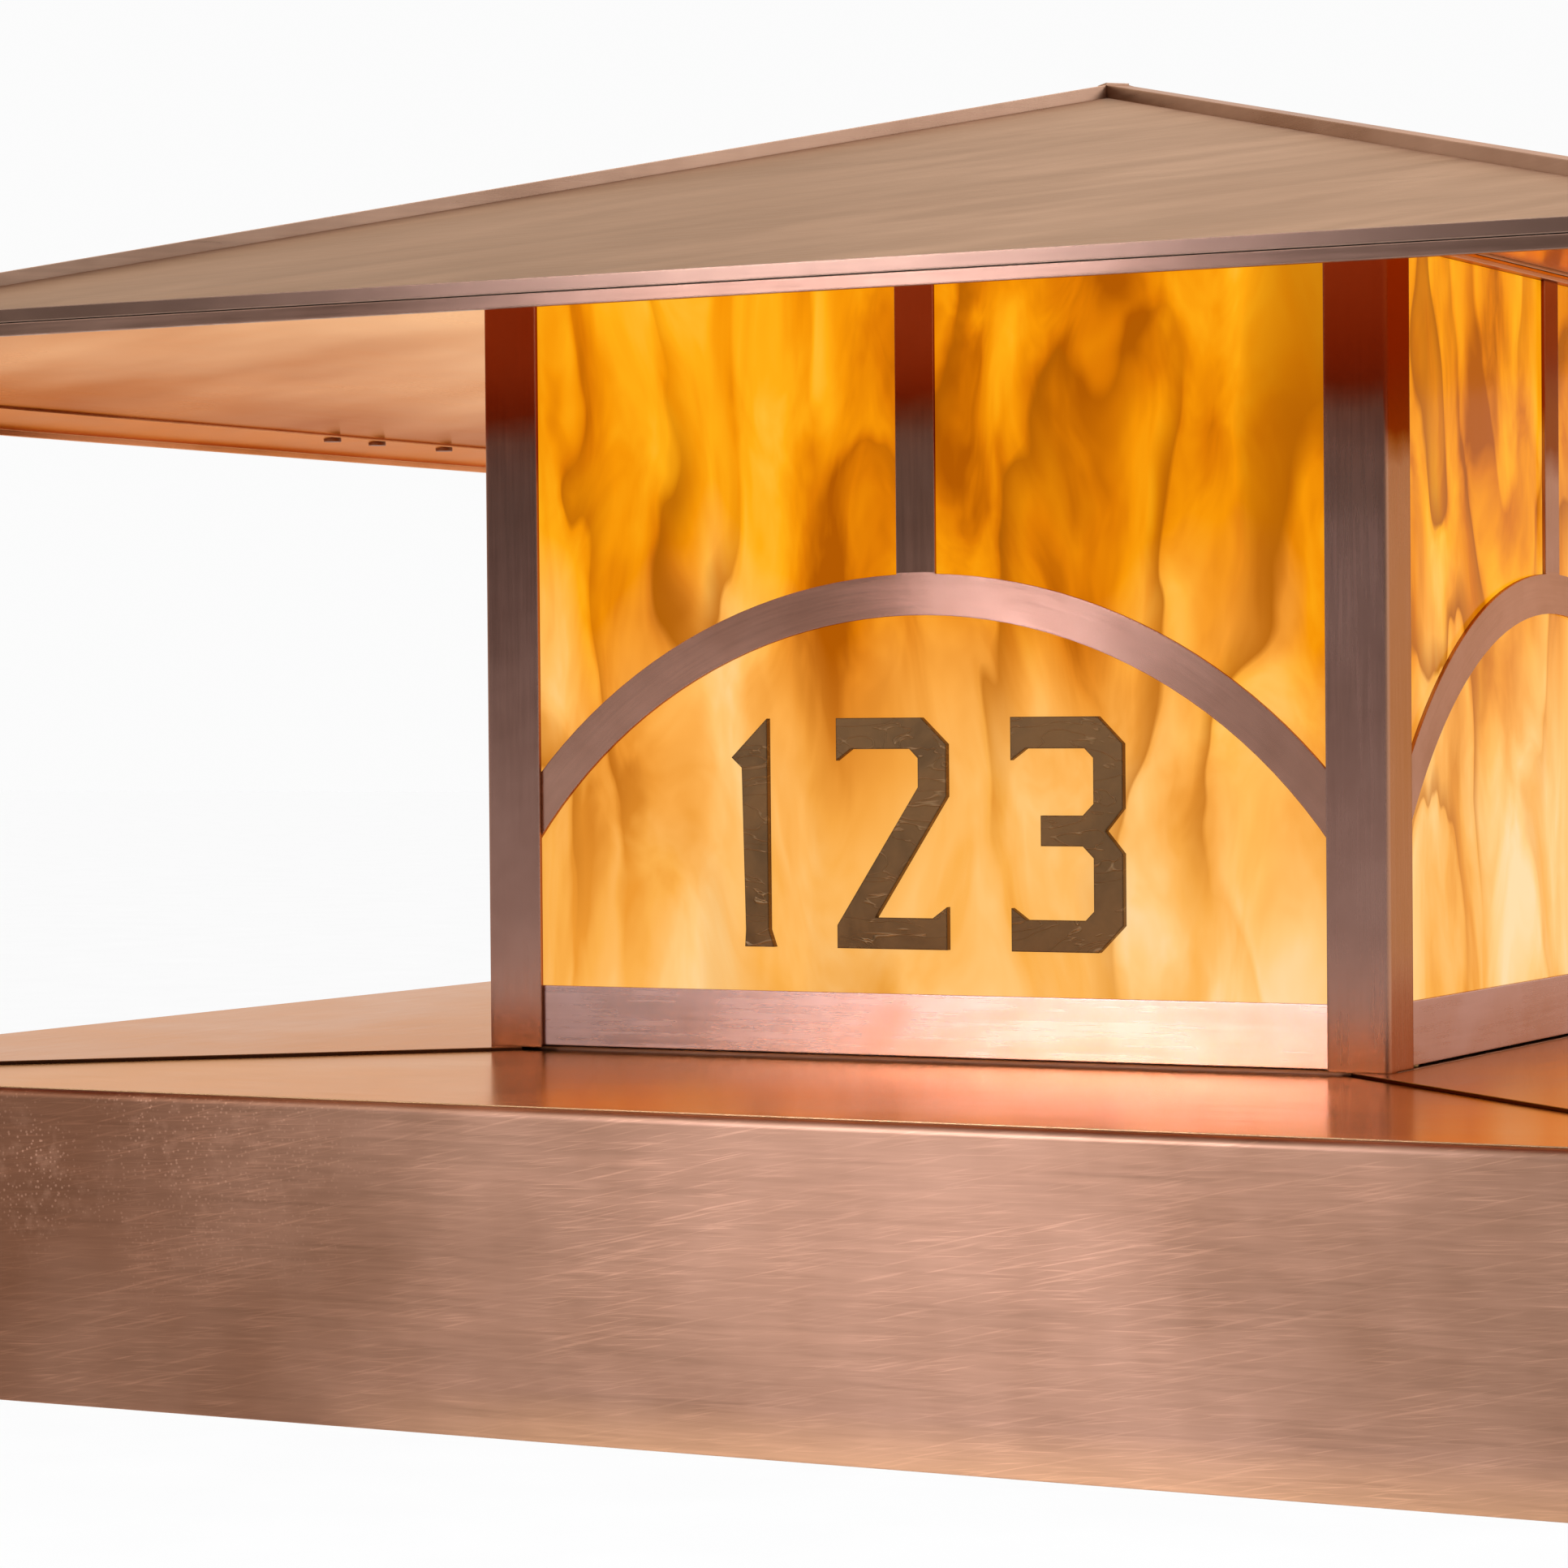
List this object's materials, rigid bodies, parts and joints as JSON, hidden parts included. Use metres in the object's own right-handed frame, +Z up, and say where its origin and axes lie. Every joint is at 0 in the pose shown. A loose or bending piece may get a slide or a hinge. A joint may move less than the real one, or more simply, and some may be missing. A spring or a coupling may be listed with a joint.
{
  "type": "wall mounted mailbox",
  "caption": "Wall mounted mailbox: a wide compartment with a swing-up front flap, under a square glazed lantern with a flared lift-off hip roof.",
  "frame": {"origin": "centre of the back plate's wall face, at the level that the lantern's posts stand on", "axes": "+Z up, +Y into the wall, +X to the right seen from the front; the front faces -Y"},
  "size_m": [0.8306, 0.7201, 0.4052],
  "materials": {
    "art_glass": "amber swirled opalescent glass",
    "brass_clip": "plain brass",
    "brass_fitting": "plain brass",
    "bronze_foil": "dark bronze patina",
    "copper_band": "satin copper with fine horizontal scratches",
    "copper_overlay": "dark satin copper",
    "copper_plain": "plain copper sheet",
    "copper_post": "dark brushed copper",
    "copper_rail": "brushed copper",
    "copper_roof": "brushed tan copper",
    "copper_soffit": "bright copper",
    "copper_top": "polished copper",
    "lamp_glass": "frosted lamp glass",
    "porcelain": "glazed porcelain",
    "rubber": "matt rubber",
    "solder": "dark solder tack",
    "steel_plate": "dark primed steel"
  },
  "bodies": {
    "housing": {"back_plate": "copper_plain", "base_floor": "copper_band", "base_side_left": "copper_band", "base_side_right": "copper_band", "cable_bushing": "rubber", "cross_bar": "steel_plate", "flap_bumpers": "rubber", "glass_clips": "brass_clip", "glass_front": "art_glass", "glass_left": "art_glass", "glass_right": "art_glass", "hinge_rod": "brass_fitting", "hinge_straps": "brass_fitting", "lamp_bulb": "lamp_glass", "lamp_nipple": "brass_fitting", "lamp_nuts": "brass_fitting", "lamp_socket": "porcelain", "lantern_back_panel": "copper_plain", "lantern_floor": "copper_plain", "lantern_screws": "brass_fitting", "lantern_top_frame": "copper_plain", "numeral_one": "bronze_foil", "numeral_three": "bronze_foil", "numeral_two": "bronze_foil", "overlay_front": "copper_overlay", "overlay_left": "copper_overlay", "overlay_right": "copper_overlay", "post_back_left": "copper_post", "post_back_right": "copper_post", "post_front_left": "copper_post", "post_front_right": "copper_post", "rail_back": "copper_rail", "rail_front": "copper_rail", "rail_left": "copper_rail", "rail_right": "copper_rail", "roof_seat_pads": "rubber", "support_arm_left": "steel_plate", "support_arm_right": "steel_plate", "top_back": "copper_top", "top_front": "copper_top", "top_left": "copper_top", "top_right": "copper_top"},
    "mail_flap": {"mail_flap": "copper_band"},
    "roof": {"eave_tacks": "solder", "eave_trim_front": "copper_soffit", "eave_trim_left": "copper_soffit", "eave_trim_right": "copper_soffit", "hip_batten_left": "copper_roof", "hip_batten_right": "copper_roof", "ridge_batten": "copper_roof", "roof_collar": "copper_plain", "roof_front": "copper_roof", "roof_gable": "copper_plain", "roof_left": "copper_roof", "roof_right": "copper_roof", "soffit_back": "copper_soffit", "soffit_front": "copper_soffit", "soffit_left": "copper_soffit", "soffit_right": "copper_soffit"}
  },
  "joints": [
    {"name": "flap_hinge", "type": "hinge", "parent": "housing", "child": "mail_flap", "pos_m": [0, -0.63705, -0.00405], "axis": [-1, 0, 0], "range_deg": [0, 100]},
    {"name": "roof_lift", "type": "slide", "parent": "housing", "child": "roof", "axis": [0, 0, 1], "range_m": [0, 0.15]}
  ]
}
